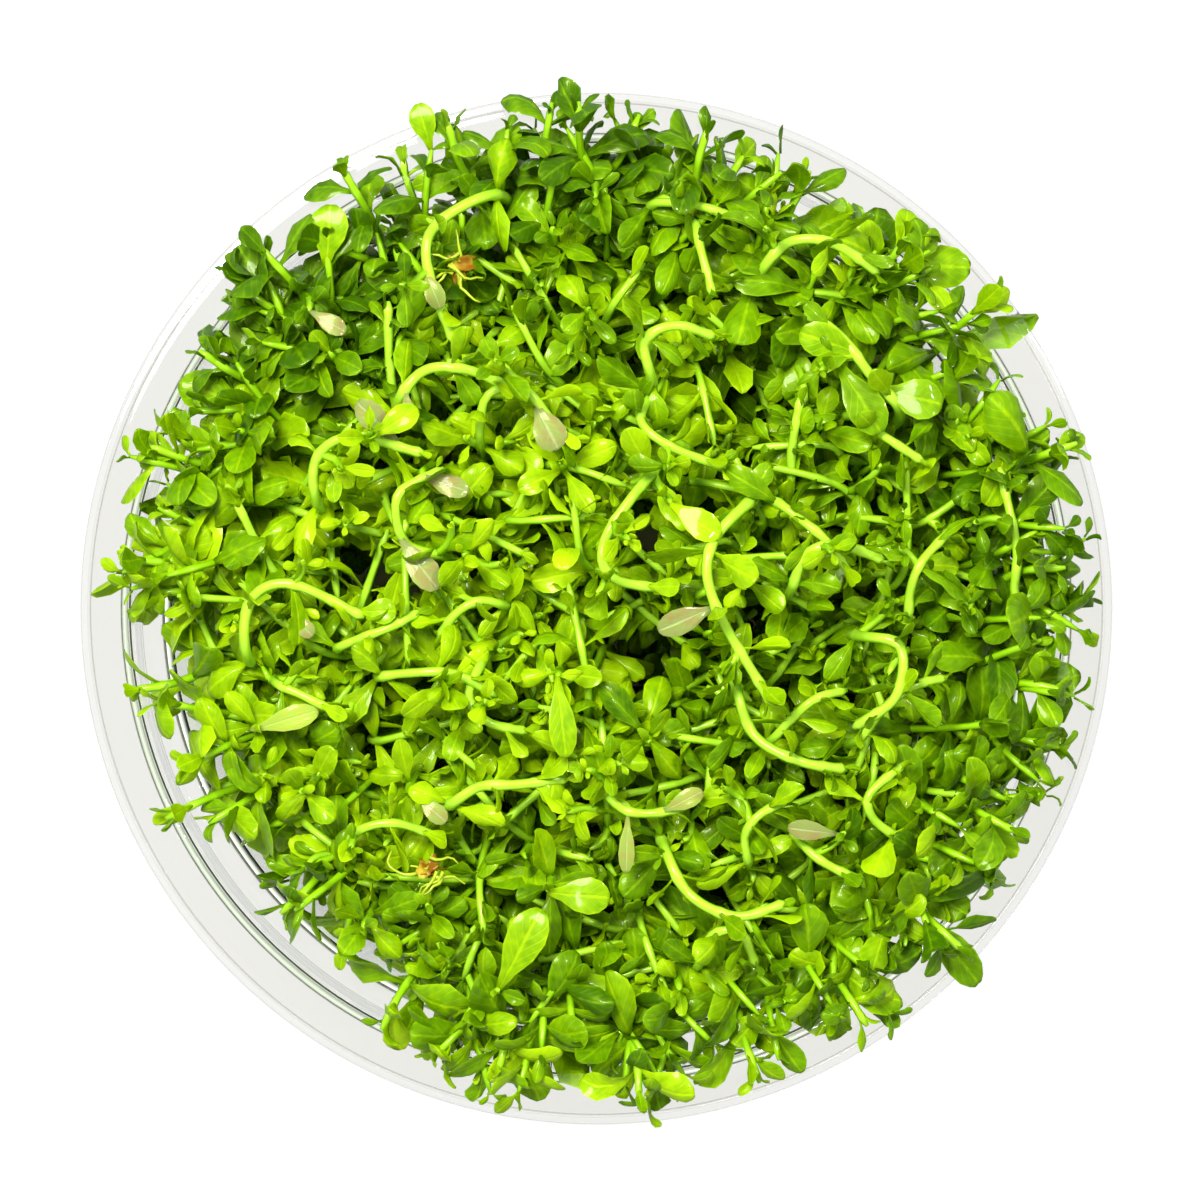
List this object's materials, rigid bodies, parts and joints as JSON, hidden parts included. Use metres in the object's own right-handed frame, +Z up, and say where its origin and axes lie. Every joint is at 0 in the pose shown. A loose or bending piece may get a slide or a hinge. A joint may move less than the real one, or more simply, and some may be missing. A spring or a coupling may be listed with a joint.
{
  "type": "aquarium plant cup",
  "caption": "Round clear culture cup packed with dwarf rotala: small paired leaves on bright green stems that stand, arch over the top and lean out over the rim.",
  "frame": {"origin": "centre of the cup's flat underside, on the surface it stands on", "axes": "+Z up along the cup's axis; the picture looks straight down, with +X to its right and +Y to its top"},
  "size_m": [0.1, 0.1036, 0.0731],
  "materials": {
    "clear_plastic": "clear, glossy thin moulding",
    "nutrient_gel": "cloudy, wet jelly",
    "rotala_green": "moist leaf and stem tissue, satin to glossy"
  },
  "bodies": {
    "root": {"agar_gel": "nutrient_gel", "arching_shoot_01": "rotala_green", "arching_shoot_02": "rotala_green", "arching_shoot_03": "rotala_green", "arching_shoot_04": "rotala_green", "arching_shoot_05": "rotala_green", "arching_shoot_06": "rotala_green", "arching_shoot_07": "rotala_green", "arching_shoot_08": "rotala_green", "arching_shoot_09": "rotala_green", "arching_shoot_10": "rotala_green", "arching_shoot_11": "rotala_green", "arching_shoot_12": "rotala_green", "arching_shoot_13": "rotala_green", "arching_shoot_14": "rotala_green", "culture_cup": "clear_plastic", "rim_shoot_01": "rotala_green", "rim_shoot_02": "rotala_green", "rim_shoot_03": "rotala_green", "rim_shoot_04": "rotala_green", "rim_shoot_05": "rotala_green", "rim_shoot_06": "rotala_green", "rim_shoot_07": "rotala_green", "rim_shoot_08": "rotala_green", "rim_shoot_09": "rotala_green", "rim_shoot_10": "rotala_green", "rim_shoot_11": "rotala_green", "rim_shoot_12": "rotala_green", "rim_shoot_13": "rotala_green", "rim_shoot_14": "rotala_green", "rim_shoot_15": "rotala_green", "rim_shoot_16": "rotala_green", "rim_shoot_17": "rotala_green", "rim_shoot_18": "rotala_green", "rim_shoot_19": "rotala_green", "rim_shoot_20": "rotala_green", "rim_shoot_21": "rotala_green", "rim_shoot_22": "rotala_green", "rim_shoot_23": "rotala_green", "rim_shoot_24": "rotala_green", "upright_shoot_01": "rotala_green", "upright_shoot_02": "rotala_green", "upright_shoot_03": "rotala_green", "upright_shoot_04": "rotala_green", "upright_shoot_05": "rotala_green", "upright_shoot_06": "rotala_green", "upright_shoot_07": "rotala_green", "upright_shoot_08": "rotala_green", "upright_shoot_09": "rotala_green", "upright_shoot_10": "rotala_green", "upright_shoot_11": "rotala_green", "upright_shoot_12": "rotala_green", "upright_shoot_13": "rotala_green", "upright_shoot_14": "rotala_green", "upright_shoot_15": "rotala_green", "upright_shoot_16": "rotala_green", "upright_shoot_17": "rotala_green", "upright_shoot_18": "rotala_green", "upright_shoot_19": "rotala_green", "upright_shoot_20": "rotala_green"}
  },
  "joints": []
}
